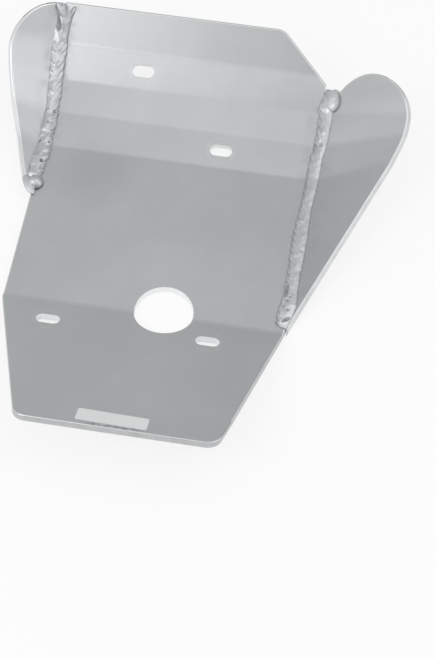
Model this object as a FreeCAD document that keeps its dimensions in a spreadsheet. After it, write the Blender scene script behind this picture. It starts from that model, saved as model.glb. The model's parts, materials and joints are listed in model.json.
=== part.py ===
import FreeCAD, Part
import math
import os
import Sketcher
from FreeCAD import Placement, Rotation, Vector

# Motorcycle skid plate: one bent aluminium sheet with a flared wing welded along each side.
# The frame: +X to one side, +Y to the front of the machine, +Z up towards the engine.
# The origin is on the underside of the flat middle panel, at its middle, on the centre line.

doc = FreeCAD.newDocument("SkidPlate")

# Sizes, in millimetres and degrees

SIZES = [
    ("sheet_thickness", 4.0, "aluminium sheet of the plate"),
    ("wing_thickness", 4.0, "aluminium sheet of the wings"),
    ("bend_radius", 10.0, "inner radius of each bend"),
    ("plate_width", 158.0, "over the two straight side edges"),
    ("middle_length", 104.8, "flat middle panel, between its bend lines"),
    ("rear_length", 75.0, "rear panel, from its bend to the lip bend"),
    ("lip_length", 19.6, "narrow rear lip"),
    ("rear_angle", 18.9, "the rear panel turns up by this"),
    ("lip_angle", 4.0, "the lip turns up by this again"),
    ("band_one", 22.3, "first of the four front bands"),
    ("band_two", 19.8, "second band"),
    ("band_three", 21.7, "third band"),
    ("band_four", 23.3, "last band, to the front edge"),
    ("front_angle", 10.9, "turn at each of the four front bends"),
    ("left_taper_start", 2.0, "the left side starts to taper this far behind the rear bend"),
    ("right_taper_start", 5.0, "the right side starts to taper this far in front of it"),
    ("rear_left", 49.7, "rear corner on the left, from the centre line"),
    ("rear_right", 55.8, "rear corner on the right, from the centre line"),
    ("rear_corner", 8.0, "radius of the two rear corners"),
    ("front_chamfer", 28.4, "corner cut off at the front right"),
    ("chamfer_corner", 9.0, "radius where that cut meets the front edge"),
    ("slot_width", 7.0, "clearance slots for M6 bolts"),
    ("slot_length", 13.2, "over the round ends"),
    ("upper_slot", 28.7, "slot in the third band, left of the centre line"),
    ("lower_slot", 24.1, "slot in the first band, right of the centre line"),
    ("rear_left_slot", 50.0, "rear slot, left of the centre line"),
    ("rear_right_slot", 38.2, "rear slot, right of the centre line"),
    ("rear_slot_set", 15.5, "rear slots, behind the rear bend"),
    ("drain_bore", 32.8, "drain hole across the rear bend"),
    ("drain_side", 10.9, "drain hole, right of the centre line"),
    ("drain_set", 2.5, "drain hole, in front of the rear bend"),
    ("overcut", 10.0, "trimming cuts reach past the sheet by this"),
    ("wing_rise", 35.0, "each wing leans out, this far up from flat"),
    ("left_crease", 60.0, "inner radius of the left wing's rolled creases"),
    ("right_crease", 28.0, "inner radius of the right wing's rolled creases"),
    ("left_start", 71.0, "rear end of the left wing, from the rear bend"),
    ("left_foot", 10.4, "edge there, below the wing's datum line"),
    ("left_kink", 98.0, "the outer edge steepens here"),
    ("left_kink_drop", 5.7, "edge there, below the datum line"),
    ("left_top", 153.3, "centre of the round front, along"),
    ("left_top_drop", 19.7, "centre of the round front, below the datum line"),
    ("left_round", 28.4, "radius of the round front"),
    ("right_foot", 2.0, "the right wing's edge at the rear bend, below the datum line"),
    ("right_slope", 16.7, "angle of its long straight edge"),
    ("right_top", 131.7, "centre of the round front, along"),
    ("right_top_rise", 7.4, "centre of the round front, above the datum line"),
    ("right_round", 27.8, "radius of the round front"),
    ("right_blend", 60.0, "larger radius between the edge and the round front"),
    ("right_end", 150.0, "front end of the right wing at the weld"),
    ("weld_on_plate", 4.6, "leg of the weld bead on the plate"),
    ("weld_on_wing", 4.6, "leg of the weld bead on the wing"),
    ("weld_crown", 7.0, "radius of the bead's crown"),
    ("weld_end", 5.0, "radius of the bead's round ends"),
    ("left_weld_start", 67.5, "rear end of the left bead"),
    ("right_weld_start", 2.0, "rear end of the right bead"),
    ("right_weld_over", 1.5, "the right bead runs past the cut-off corner by this"),
]
sheet = doc.addObject("Spreadsheet::Sheet", "Sizes")
for row, (name, value, note) in enumerate(SIZES, 1):
    sheet.set("A%d" % row, note)
    sheet.set("B%d" % row, str(value))
    sheet.setAlias("B%d" % row, name)
doc.recompute()


def size(name):
    return float(getattr(sheet, name))


def cell(text):
    """The text of an expression, with each size's name sent to the sheet."""
    words = sorted((n for n, v, t in SIZES), key=len, reverse=True)
    out, i = "", 0
    while i < len(text):
        for word in words:
            if text.startswith(word, i):
                out += "Sizes." + word
                i += len(word)
                break
        else:
            out += text[i]
            i += 1
    return out


# The inner face of the sheet seen from the side, as runs: length and turn from flat

BANDS = ["band_one", "band_two", "band_three", "band_four"]


def bend(k):
    """Expressions for Y and Z of the start of front band k, on the inner face."""
    y, z = "middle_length / 2", "sheet_thickness"
    for i in range(k):
        y += " + %s * cos(%d * front_angle)" % (BANDS[i], i + 1)
        z += " + %s * sin(%d * front_angle)" % (BANDS[i], i + 1)
    return y, z


def point(k):
    """The same point as numbers."""
    y, z = size("middle_length") / 2, size("sheet_thickness")
    for i in range(k):
        turn = math.radians((i + 1) * size("front_angle"))
        y += size(BANDS[i]) * math.cos(turn)
        z += size(BANDS[i]) * math.sin(turn)
    return y, z


# Helpers for bodies and sketches

def new_body(label):
    body = doc.addObject("PartDesign::Body", label)
    body.Label = label
    return body


def plane(body, role):
    return [f for f in body.Origin.OriginFeatures if f.Role == role][0]


def new_sketch(body, name, role):
    sketch = body.newObject("Sketcher::SketchObject", name)
    sketch.AttachmentSupport = [(plane(body, role), "")]
    sketch.MapMode = "FlatFace"
    return sketch


def tie(sketch, constraint, name, text):
    """Add a driving constraint and bind it to the sheet."""
    i = sketch.addConstraint(constraint)
    sketch.renameConstraint(i, name)
    sketch.setExpression("Constraints." + name, cell(text))


def meet(sketch, a, pa, b, pb):
    sketch.addConstraint(Sketcher.Constraint("Coincident", a, pa, b, pb))


def line(sketch, p, q):
    return sketch.addGeometry(Part.LineSegment(Vector(p[0], p[1], 0), Vector(q[0], q[1], 0)), False)


def arc(sketch, centre, radius, start, end):
    circle = Part.Circle(Vector(centre[0], centre[1], 0), Vector(0, 0, 1), radius)
    return sketch.addGeometry(Part.ArcOfCircle(circle, start, end), False)


def tilted_sketch(body, name, turn, y, z, x="0"):
    """A sketch on a plane turned about X: its own x is X, its own y runs along the sheet."""
    sketch = new_sketch(body, name, "XY_Plane")
    sketch.AttachmentOffset = Placement(Vector(0, 0, 0), Rotation(Vector(1, 0, 0), 1))
    sketch.setExpression("AttachmentOffset.Rotation.Angle", cell(turn))
    sketch.setExpression("AttachmentOffset.Base.x", cell(x))
    sketch.setExpression("AttachmentOffset.Base.y", cell(y))
    sketch.setExpression("AttachmentOffset.Base.z", cell(z))
    return sketch


def both_ways(feature):
    """Make a pocket cut through on both sides of its sketch."""
    if hasattr(feature, "SideType"):
        feature.SideType = "Symmetric"
    else:
        feature.Midplane = True
    feature.Type = "Length"
    feature.setExpression("Length", cell("2 * plate_width"))
    return feature


def pocket(body, sketch, name):
    """Cut through, and make sure that something was cut."""
    doc.recompute()
    before = body.Shape.Volume
    cut = body.newObject("PartDesign::Pocket", name)
    cut.Profile = sketch
    both_ways(cut)
    doc.recompute()
    if not body.Shape.Volume < before - 1.0:
        raise RuntimeError(name + " cuts nothing")
    return cut


# The plate's side profile: a closed outline one sheet thick, padded across

def side_profile(body):
    sketch = new_sketch(body, "SideProfile", "YZ_Plane")
    t = size("sheet_thickness")
    half = size("middle_length") / 2
    rear = math.radians(180 - size("rear_angle"))
    lip = math.radians(180 - size("rear_angle") - size("lip_angle"))
    inner = [(-half, t)]
    inner.append((inner[0][0] + size("rear_length") * math.cos(rear),
                  inner[0][1] + size("rear_length") * math.sin(rear)))
    inner.append((inner[1][0] + size("lip_length") * math.cos(lip),
                  inner[1][1] + size("lip_length") * math.sin(lip)))
    back, front = inner, [point(k) for k in range(5)]
    # one run per panel: start, end, length and direction
    runs = [(back[0], front[0], "middle_length", None)]
    for k in range(4):
        runs.append((front[k], front[k + 1], BANDS[k], "%d * front_angle" % (k + 1)))
    runs.append((back[0], back[1], "rear_length", "180 - rear_angle"))
    runs.append((back[1], back[2], "lip_length", "180 - rear_angle - lip_angle"))
    lines = [line(sketch, p, q) for p, q, n, a in runs]
    sketch.addConstraint(Sketcher.Constraint("Symmetric", lines[0], 1, lines[0], 2, -2))
    tie(sketch, Sketcher.Constraint("DistanceY", -1, 1, lines[0], 1, t), "inner_face", "sheet_thickness")
    for k, (p, q, length, direction) in enumerate(runs):
        tie(sketch, Sketcher.Constraint("Distance", lines[k], math.dist(p, q)), "length_%d" % k, length)
        if direction:
            angle = math.atan2(q[1] - p[1], q[0] - p[0])
            tie(sketch, Sketcher.Constraint("Angle", lines[k], angle), "turn_%d" % k,
                "(%s) * 1 deg" % direction)
    for a, pa, b in [(0, 2, 1), (1, 2, 2), (2, 2, 3), (3, 2, 4), (0, 1, 5), (5, 2, 6)]:
        meet(sketch, lines[a], pa, lines[b], 1)
    # the outer face runs parallel to the inner one, a sheet's thickness below it
    normals = []
    for p, q, n, a in runs:
        length = math.dist(p, q)
        dy, dz = (q[0] - p[0]) / length, (q[1] - p[1]) / length
        if dy < 0:
            dy, dz = -dy, -dz
        normals.append((dz * t, -dy * t))

    def corner(p, a, b):
        ca, cb = normals[a], normals[b]
        sy, sz = ca[0] + cb[0], ca[1] + cb[1]
        k = 2 * t * t / (sy * sy + sz * sz)
        return (p[0] + sy * k, p[1] + sz * k)

    order = [6, 5, 0, 1, 2, 3, 4]                       # from the lip to the front edge
    joints = [back[1], back[0]] + front[:4]
    ends = [(back[2][0] + normals[6][0], back[2][1] + normals[6][1])]
    ends += [corner(p, order[i], order[i + 1]) for i, p in enumerate(joints)]
    ends.append((front[4][0] + normals[4][0], front[4][1] + normals[4][1]))
    outer = [line(sketch, ends[i], ends[i + 1]) for i in range(7)]
    for i in range(6):
        meet(sketch, outer[i], 2, outer[i + 1], 1)
    for i, k in enumerate(order):
        sketch.addConstraint(Sketcher.Constraint("Parallel", outer[i], lines[k]))
        tie(sketch, Sketcher.Constraint("Distance", outer[i], 1, lines[k], t), "gauge_%d" % i,
            "sheet_thickness")
    for mine, pm, his, ph in [(lines[6], 2, outer[0], 1), (lines[4], 2, outer[6], 2)]:
        p = sketch.getPoint(mine, pm)
        q = sketch.getPoint(his, ph)
        cap = line(sketch, (p.x, p.y), (q.x, q.y))
        meet(sketch, mine, pm, cap, 1)
        meet(sketch, his, ph, cap, 2)
        sketch.addConstraint(Sketcher.Constraint("Perpendicular", cap, mine))
    return sketch


def slot(body, name, turn, y, z, x, along):
    """An obround slot across the sheet; x and along are its centre on the panel."""
    sketch = tilted_sketch(body, name, turn, y, z, x)
    w, reach = size("slot_width") / 2, (size("slot_length") - size("slot_width")) / 2
    ends = [arc(sketch, (reach, 0), w, -math.pi / 2, math.pi / 2),
            arc(sketch, (-reach, 0), w, math.pi / 2, 3 * math.pi / 2)]
    top = line(sketch, (reach, w), (-reach, w))
    low = line(sketch, (-reach, -w), (reach, -w))
    for a, pa, b, pb in [(top, 1, ends[0], 2), (top, 2, ends[1], 1),
                         (low, 1, ends[1], 2), (low, 2, ends[0], 1)]:
        sketch.addConstraint(Sketcher.Constraint("Tangent", a, pa, b, pb))
    sketch.addConstraint(Sketcher.Constraint("Equal", ends[0], ends[1]))
    sketch.addConstraint(Sketcher.Constraint("Horizontal", top))
    tie(sketch, Sketcher.Constraint("Radius", ends[0], w), "end", "slot_width / 2")
    tie(sketch, Sketcher.Constraint("DistanceX", -1, 1, ends[0], 3, reach), "half_run",
        "(slot_length - slot_width) / 2")
    tie(sketch, Sketcher.Constraint("DistanceX", ends[1], 3, -1, 1, reach), "other_half",
        "(slot_length - slot_width) / 2")
    tie(sketch, Sketcher.Constraint("DistanceY", -1, 1, ends[0], 3, 0), "along", along)
    return sketch


def polygon_sketch(sketch, points, names):
    """A closed outline; each corner's two distances from the origin are bound to the sheet."""
    ids = [line(sketch, points[i], points[(i + 1) % len(points)]) for i in range(len(points))]
    for i in range(len(points)):
        meet(sketch, ids[i], 2, ids[(i + 1) % len(points)], 1)
    for i, (x, y) in enumerate(names):
        tie(sketch, Sketcher.Constraint("DistanceX", -1, 1, ids[i], 1, points[i][0]), "across_%d" % i, x)
        tie(sketch, Sketcher.Constraint("DistanceY", -1, 1, ids[i], 1, points[i][1]), "up_%d" % i, y)
    return ids


def edges_where(shape, test):
    return ["Edge%d" % (i + 1) for i, e in enumerate(shape.Edges) if test(e)]


def fillet(body, name, edges, radius):
    doc.recompute()
    if not edges:
        raise RuntimeError(name + " has no edges")
    base = body.Tip
    f = body.newObject("PartDesign::Fillet", name)
    f.Base = (base, edges)
    f.setExpression("Radius", cell(radius))
    doc.recompute()
    return f


def is_cross_edge(e):
    """A straight edge that runs across the whole plate."""
    if len(e.Vertexes) != 2:
        return False
    d = e.Vertexes[1].Point - e.Vertexes[0].Point
    return abs(d.x) > 0.99 * size("plate_width") and abs(d.y) + abs(d.z) < 1e-6


def near(p, q, gap=0.05):
    return (p - q).Length < gap


# Main plate

plate = new_body("main_plate")
pad = plate.newObject("PartDesign::Pad", "Sheet")
pad.Profile = side_profile(plate)
if hasattr(pad, "SideType"):
    pad.SideType = "Symmetric"
else:
    pad.Midplane = True
pad.setExpression("Length", cell("plate_width"))
doc.recompute()

# every bend is rolled: the same centre for the inner and the outer radius
inner_ends = [Vector(0, *point(k)) for k in range(4)]
rear_turn = math.radians(size("rear_angle"))
inner_ends.append(Vector(0, -size("middle_length") / 2, size("sheet_thickness")))
inner_ends.append(Vector(0, -size("middle_length") / 2 - size("rear_length") * math.cos(rear_turn),
                         size("sheet_thickness") + size("rear_length") * math.sin(rear_turn)))


def on_bend(e, inner):
    """Is this cross edge one of the bends, on the inner or the outer face?"""
    if not is_cross_edge(e):
        return False
    p = Vector(0, e.Vertexes[0].Y, e.Vertexes[0].Z)
    gaps = [(p - q).Length for q in inner_ends]
    if inner:
        return min(gaps) < 0.01
    return 0.9 * size("sheet_thickness") < min(gaps) < 1.1 * size("sheet_thickness") \
        and not at_end(p)


def at_end(p):
    """The two cut ends of the sheet are not bends."""
    lip_turn = rear_turn + math.radians(size("lip_angle"))
    back = inner_ends[5] + Vector(0, -math.cos(lip_turn), math.sin(lip_turn)) * size("lip_length")
    front = Vector(0, *point(4))
    return min((p - back).Length, (p - front).Length) < 1.2 * size("sheet_thickness")


fillet(plate, "InnerBends", edges_where(pad.Shape, lambda e: on_bend(e, True)), "bend_radius")
fillet(plate, "OuterBends", edges_where(plate.Tip.Shape, lambda e: on_bend(e, False)),
       "bend_radius + sheet_thickness")

# the sides taper towards the rear corners, more on the left
REAR = ("-rear_angle", "-middle_length / 2", "sheet_thickness")
for side, corner, start, lead, name in (
        (-1, "rear_left", "left_taper_start", "-left_taper_start", "LeftTaper"),
        (1, "rear_right", "right_taper_start", "right_taper_start", "RightTaper")):
    s = "-" if side < 0 else ""
    sketch = tilted_sketch(plate, name, *REAR)
    w, far = size("plate_width") / 2, size("rear_length") + size("lip_length")
    first = side * size(start)
    slope = (w - size(corner)) / (far + first)
    over = size("overcut")
    deep = far + over
    tip = w - slope * (deep + first)
    sign = "-" if side < 0 else "+"
    run = "(plate_width / 2 - (plate_width / 2 - %s) / (rear_length + lip_length %s %s)" \
        " * (rear_length + lip_length + overcut %s %s))" % (corner, sign, start, sign, start)
    polygon_sketch(sketch,
                   [(side * w, first), (side * tip, -deep), (side * (w + over), -deep),
                    (side * (w + over), first)],
                   [(s + "plate_width / 2", lead),
                    (s + run, "-(rear_length + lip_length + overcut)"),
                    (s + "(plate_width / 2 + overcut)", "-(rear_length + lip_length + overcut)"),
                    (s + "(plate_width / 2 + overcut)", lead)])
    pocket(plate, sketch, name + "Cut")

# one front corner is cut off at 45 degrees
y4, z4 = bend(3)
sketch = tilted_sketch(plate, "FrontCorner", "4 * front_angle", y4, z4)
w, top, c, over = size("plate_width") / 2, size("band_four"), size("front_chamfer"), size("overcut")
polygon_sketch(sketch,
               [(w - c - over, top + over), (w + over, top - c - over), (w + over, top + over)],
               [("plate_width / 2 - front_chamfer - overcut", "band_four + overcut"),
                ("plate_width / 2 + overcut", "band_four - front_chamfer - overcut"),
                ("plate_width / 2 + overcut", "band_four + overcut")])
pocket(plate, sketch, "FrontCornerCut")


def corner_edge(e, x, y_min, y_max):
    """A short edge through the sheet near the given side and range of Y."""
    if len(e.Vertexes) != 2:
        return False
    a, b = e.Vertexes[0].Point, e.Vertexes[1].Point
    mid = (a + b) * 0.5
    return abs((a - b).Length - size("sheet_thickness")) < 0.6 and abs(mid.x - x) < 3.0 \
        and y_min < mid.y < y_max


tip_y = plate.Tip.Shape.BoundBox.YMin
top_y = plate.Tip.Shape.BoundBox.YMax
fillet(plate, "RearCorners",
       edges_where(plate.Tip.Shape, lambda e: corner_edge(e, -size("rear_left"), tip_y - 1, tip_y + 6)
                   or corner_edge(e, size("rear_right"), tip_y - 1, tip_y + 6)), "rear_corner")
fillet(plate, "ChamferCorner",
       edges_where(plate.Tip.Shape,
                   lambda e: corner_edge(e, size("plate_width") / 2 - size("front_chamfer"),
                                         top_y - 8, top_y + 1)), "chamfer_corner")

# four mounting slots and the drain hole
y1, z1 = bend(0)
y3, z3 = bend(2)
pocket(plate, slot(plate, "UpperSlot", "3 * front_angle", y3, z3, "-upper_slot", "band_three / 2"),
       "UpperSlotCut")
pocket(plate, slot(plate, "LowerSlot", "front_angle", y1, z1, "lower_slot", "band_one / 2"),
       "LowerSlotCut")
pocket(plate, slot(plate, "RearLeftSlot", *REAR, "-rear_left_slot", "-rear_slot_set"), "RearLeftSlotCut")
pocket(plate, slot(plate, "RearRightSlot", *REAR, "rear_right_slot", "-rear_slot_set"), "RearRightSlotCut")

sketch = tilted_sketch(plate, "Drain", "-rear_angle / 2", "-middle_length / 2", "sheet_thickness",
                       "drain_side")
ring = sketch.addGeometry(Part.Circle(Vector(0, size("drain_set"), 0), Vector(0, 0, 1),
                                      size("drain_bore") / 2), False)
tie(sketch, Sketcher.Constraint("Diameter", ring, size("drain_bore")), "bore", "drain_bore")
tie(sketch, Sketcher.Constraint("DistanceY", -1, 1, ring, 3, size("drain_set")), "set", "drain_set")
sketch.addConstraint(Sketcher.Constraint("PointOnObject", ring, 3, -2))
pocket(plate, sketch, "DrainCut")


# Wings and weld beads follow the same bends as the plate

def bend_path(body):
    """The inner face of the sheet from the rear bend to the front edge."""
    sketch = new_sketch(body, "BendPath", "YZ_Plane")
    pts = [(-size("middle_length") / 2, size("sheet_thickness"))] + [point(k) for k in range(5)]
    lines = [line(sketch, pts[i], pts[i + 1]) for i in range(5)]
    for i in range(4):
        meet(sketch, lines[i], 2, lines[i + 1], 1)
    sketch.addConstraint(Sketcher.Constraint("Symmetric", lines[0], 1, lines[0], 2, -2))
    tie(sketch, Sketcher.Constraint("DistanceY", -1, 1, lines[0], 1, pts[0][1]), "inner_face",
        "sheet_thickness")
    tie(sketch, Sketcher.Constraint("Distance", lines[0], size("middle_length")), "length_0",
        "middle_length")
    for k in range(4):
        angle = math.radians((k + 1) * size("front_angle"))
        tie(sketch, Sketcher.Constraint("Distance", lines[k + 1], size(BANDS[k])), "length_%d" % (k + 1),
            BANDS[k])
        tie(sketch, Sketcher.Constraint("Angle", lines[k + 1], angle), "turn_%d" % (k + 1),
            "%d * front_angle * 1 deg" % (k + 1))
    return sketch


def section_sketch(body, name):
    """A sketch square to the start of the bend path; x is X and y is Z."""
    sketch = new_sketch(body, name, "XZ_Plane")
    sketch.AttachmentOffset = Placement(Vector(0, 0, 0), Rotation())
    sketch.setExpression("AttachmentOffset.Base.z", cell("middle_length / 2"))
    return sketch


def sweep(body, section, path):
    pipe = body.newObject("PartDesign::AdditivePipe", "Sweep")
    pipe.Profile = section
    pipe.Spine = (path, [])
    pipe.Mode = "Standard"
    pipe.Transition = "Right corner"
    doc.recompute()
    return pipe


def outline_plane(body, side):
    """A sketch flat on the wing's middle direction, with its origin at the rear bend's end."""
    datum = body.newObject("PartDesign::Plane", "MiddleDirection")
    datum.AttachmentSupport = [(plane(body, "XY_Plane"), "")]
    datum.MapMode = "FlatFace"
    datum.AttachmentOffset = Placement(Vector(0, 0, 0), Rotation(Vector(1, 0, 0), 1))
    datum.setExpression("AttachmentOffset.Rotation.Angle", cell("2 * front_angle"))
    datum.setExpression("AttachmentOffset.Base.x", cell("%splate_width / 2" % ("-" if side < 0 else "")))
    datum.setExpression("AttachmentOffset.Base.y", cell("-middle_length / 2"))
    datum.setExpression("AttachmentOffset.Base.z", cell("sheet_thickness"))
    sketch = body.newObject("Sketcher::SketchObject", "Outline")
    sketch.AttachmentSupport = [(datum, "")]
    sketch.MapMode = "FlatFace"
    sketch.AttachmentOffset = Placement(Vector(0, 0, 0), Rotation(Vector(0, 1, 0), 1))
    sketch.setExpression("AttachmentOffset.Rotation.Angle",
                         cell("wing_rise" if side < 0 else "-wing_rise"))
    return sketch


def frame_round(sketch):
    """A rectangle round the whole wing, so that the pocket trims what lies outside the outline."""
    w, far = size("plate_width"), 2 * size("middle_length")
    polygon_sketch(sketch, [(-w, -w), (w, -w), (w, far), (-w, far)],
                   [("-plate_width", "-plate_width"), ("plate_width", "-plate_width"),
                    ("plate_width", "2 * middle_length + band_one"),
                    ("-plate_width", "2 * middle_length + band_one")])


def wing(label, side, crease):
    body = new_body(label)
    path = bend_path(body)
    section = section_sketch(body, "WingSection")
    t, g, r = size("wing_thickness"), size("sheet_thickness"), math.radians(size("wing_rise"))
    w, reach = size("plate_width") / 2, 0.5 * size("plate_width")
    top = (side * (w + reach * math.cos(r)), g + reach * math.sin(r))
    under = (top[0] + side * t * math.sin(r), top[1] - t * math.cos(r))
    step = t * math.sin(r) - (g - t * math.cos(r)) / math.tan(r)
    s = "-" if side < 0 else ""
    polygon_sketch(section,
                   [(side * w, g), top, under, (side * (w + step), 0), (side * w, 0)],
                   [(s + "plate_width / 2", "sheet_thickness"),
                    (s + "(plate_width / 2 + plate_width / 2 * cos(wing_rise))",
                     "sheet_thickness + plate_width / 2 * sin(wing_rise)"),
                    (s + "(plate_width / 2 + plate_width / 2 * cos(wing_rise)"
                     " + wing_thickness * sin(wing_rise))",
                     "sheet_thickness + plate_width / 2 * sin(wing_rise)"
                     " - wing_thickness * cos(wing_rise)"),
                    (s + "(plate_width / 2 + wing_thickness * sin(wing_rise)"
                     " - (sheet_thickness - wing_thickness * cos(wing_rise)) / tan(wing_rise))", "0"),
                    (s + "plate_width / 2", "0")])
    pipe = sweep(body, section, path)
    fillet(body, "InnerCreases", edges_where(pipe.Shape, lambda e: on_crease(e, True)), crease)
    fillet(body, "OuterCreases", edges_where(body.Tip.Shape, lambda e: on_crease(e, False)),
           crease + " + wing_thickness")
    return body


def on_crease(e, inner):
    """Is this edge one of the four long creases, on the wing's inner or outer face?"""
    if len(e.Vertexes) != 2:
        return False
    low, high = sorted((v.Point for v in e.Vertexes), key=lambda v: v.z)
    if (high - low).Length < 0.4 * size("plate_width") or abs(high.x - low.x) < 10:
        return False
    foot = Vector(math.copysign(size("plate_width") / 2, low.x), 0, 0)
    gaps = [(low - Vector(foot.x, *point(k))).Length for k in range(4)]
    return min(gaps) < 0.01 if inner else 0.01 < min(gaps) < 2 * size("wing_thickness")


def left_outline(body):
    sketch = outline_plane(body, -1)
    frame_round(sketch)
    inside = size("plate_width") / 3
    far = 1.9 * size("middle_length")
    a0 = (size("left_foot"), size("left_start"))
    a1 = (size("left_kink_drop"), size("left_kink"))
    c, r = (size("left_top_drop"), size("left_top")), size("left_round")
    # the tangent from the kink to the round front
    d = math.dist(a1, c)
    base = math.atan2(c[1] - a1[1], c[0] - a1[0])
    turn = base + math.asin(r / d)
    reach = math.sqrt(d * d - r * r)
    touch = (a1[0] + reach * math.cos(turn), a1[1] + reach * math.sin(turn))
    start = math.atan2(touch[1] - c[1], touch[0] - c[0])
    last = (c[0] + r, c[1])
    ids = [line(sketch, (inside, a0[1]), a0), line(sketch, a0, a1), line(sketch, a1, touch),
           arc(sketch, c, r, 0, start), line(sketch, last, (last[0], far)),
           line(sketch, (last[0], far), (inside, far)), line(sketch, (inside, far), (inside, a0[1]))]
    meet(sketch, ids[0], 2, ids[1], 1)
    meet(sketch, ids[1], 2, ids[2], 1)
    sketch.addConstraint(Sketcher.Constraint("Tangent", ids[2], 2, ids[3], 2))
    sketch.addConstraint(Sketcher.Constraint("Tangent", ids[4], 1, ids[3], 1))
    meet(sketch, ids[4], 2, ids[5], 1)
    meet(sketch, ids[5], 2, ids[6], 1)
    meet(sketch, ids[6], 2, ids[0], 1)
    sketch.addConstraint(Sketcher.Constraint("Horizontal", ids[0]))
    sketch.addConstraint(Sketcher.Constraint("Horizontal", ids[5]))
    sketch.addConstraint(Sketcher.Constraint("Vertical", ids[6]))
    sketch.addConstraint(Sketcher.Constraint("Vertical", ids[4]))
    for g, p, x, y, nx, ny in [(ids[1], 1, a0[0], a0[1], "left_foot", "left_start"),
                               (ids[2], 1, a1[0], a1[1], "left_kink_drop", "left_kink"),
                               (ids[3], 3, c[0], c[1], "left_top_drop", "left_top"),
                               (ids[6], 1, inside, far, "plate_width / 3", "1.9 * middle_length")]:
        tie(sketch, Sketcher.Constraint("DistanceX", -1, 1, g, p, x), "x_of_%d" % g, nx)
        tie(sketch, Sketcher.Constraint("DistanceY", -1, 1, g, p, y), "y_of_%d" % g, ny)
    tie(sketch, Sketcher.Constraint("Radius", ids[3], r), "round", "left_round")
    pocket(body, sketch, "Trim")


def right_outline(body):
    sketch = outline_plane(body, 1)
    frame_round(sketch)
    inside = -size("plate_width") / 3
    back = -size("plate_width") / 4
    slope = math.radians(90 - size("right_slope"))
    foot = (-size("right_foot"), 0.0)
    c2, r2, r1 = (size("right_top_rise"), size("right_top")), size("right_round"), size("right_blend")
    direction = (math.cos(slope), math.sin(slope))
    inward = (-direction[1], direction[0])
    # the centre of the blend: r1 inside the straight edge and r1 - r2 from the round's centre
    rel = (c2[0] - foot[0], c2[1] - foot[1])
    off = rel[0] * inward[0] + rel[1] * inward[1]
    along = rel[0] * direction[0] + rel[1] * direction[1]
    gap = math.sqrt((r1 - r2) ** 2 - (r1 - off) ** 2)
    c1 = (foot[0] + inward[0] * r1 + direction[0] * (along - gap),
          foot[1] + inward[1] * r1 + direction[1] * (along - gap))
    touch = (c1[0] - inward[0] * r1, c1[1] - inward[1] * r1)
    k = r1 / (r1 - r2)
    change = (c1[0] + (c2[0] - c1[0]) * k, c1[1] + (c2[1] - c1[1]) * k)
    end_turn = math.atan2(size("right_end") - c2[1], -math.sqrt(r2 ** 2 - (size("right_end") - c2[1]) ** 2))
    last = (c2[0] + r2 * math.cos(end_turn), c2[1] + r2 * math.sin(end_turn))
    start = (foot[0] + direction[0] * back, foot[1] + direction[1] * back)
    a_touch = math.atan2(touch[1] - c1[1], touch[0] - c1[0])
    a_change = math.atan2(change[1] - c1[1], change[0] - c1[0])
    ids = [line(sketch, start, touch), arc(sketch, c1, r1, a_touch, a_change),
           arc(sketch, c2, r2, a_change, end_turn), line(sketch, last, (inside, last[1])),
           line(sketch, (inside, last[1]), (inside, start[1])), line(sketch, (inside, start[1]), start)]
    sketch.addConstraint(Sketcher.Constraint("Tangent", ids[0], 2, ids[1], 1))
    sketch.addConstraint(Sketcher.Constraint("Tangent", ids[1], 2, ids[2], 1))
    meet(sketch, ids[2], 2, ids[3], 1)
    meet(sketch, ids[3], 2, ids[4], 1)
    meet(sketch, ids[4], 2, ids[5], 1)
    meet(sketch, ids[5], 2, ids[0], 1)
    sketch.addConstraint(Sketcher.Constraint("Horizontal", ids[3]))
    sketch.addConstraint(Sketcher.Constraint("Vertical", ids[4]))
    sketch.addConstraint(Sketcher.Constraint("Horizontal", ids[5]))
    tie(sketch, Sketcher.Constraint("Angle", ids[0], slope), "slope", "(90 - right_slope) * 1 deg")
    foot_point = sketch.addGeometry(Part.Point(Vector(foot[0], 0, 0)), True)
    sketch.addConstraint(Sketcher.Constraint("PointOnObject", foot_point, 1, -1))
    sketch.addConstraint(Sketcher.Constraint("PointOnObject", foot_point, 1, ids[0]))
    tie(sketch, Sketcher.Constraint("DistanceX", -1, 1, foot_point, 1, foot[0]), "foot", "-right_foot")
    tie(sketch, Sketcher.Constraint("Distance", foot_point, 1, ids[0], 1, -back), "run_out",
        "plate_width / 4")
    tie(sketch, Sketcher.Constraint("DistanceX", -1, 1, ids[2], 3, c2[0]), "top_rise", "right_top_rise")
    tie(sketch, Sketcher.Constraint("DistanceY", -1, 1, ids[2], 3, c2[1]), "top_along", "right_top")
    tie(sketch, Sketcher.Constraint("Radius", ids[2], r2), "round", "right_round")
    tie(sketch, Sketcher.Constraint("Radius", ids[1], r1), "blend", "right_blend")
    tie(sketch, Sketcher.Constraint("DistanceY", -1, 1, ids[2], 2, last[1]), "end", "right_end")
    tie(sketch, Sketcher.Constraint("DistanceX", ids[4], 1, -1, 1, -inside), "inside", "plate_width / 3")
    pocket(body, sketch, "Trim")


left_wing = wing("left_wing", -1, "left_crease")
left_outline(left_wing)
right_wing = wing("right_wing", 1, "right_crease")
right_outline(right_wing)


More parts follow.
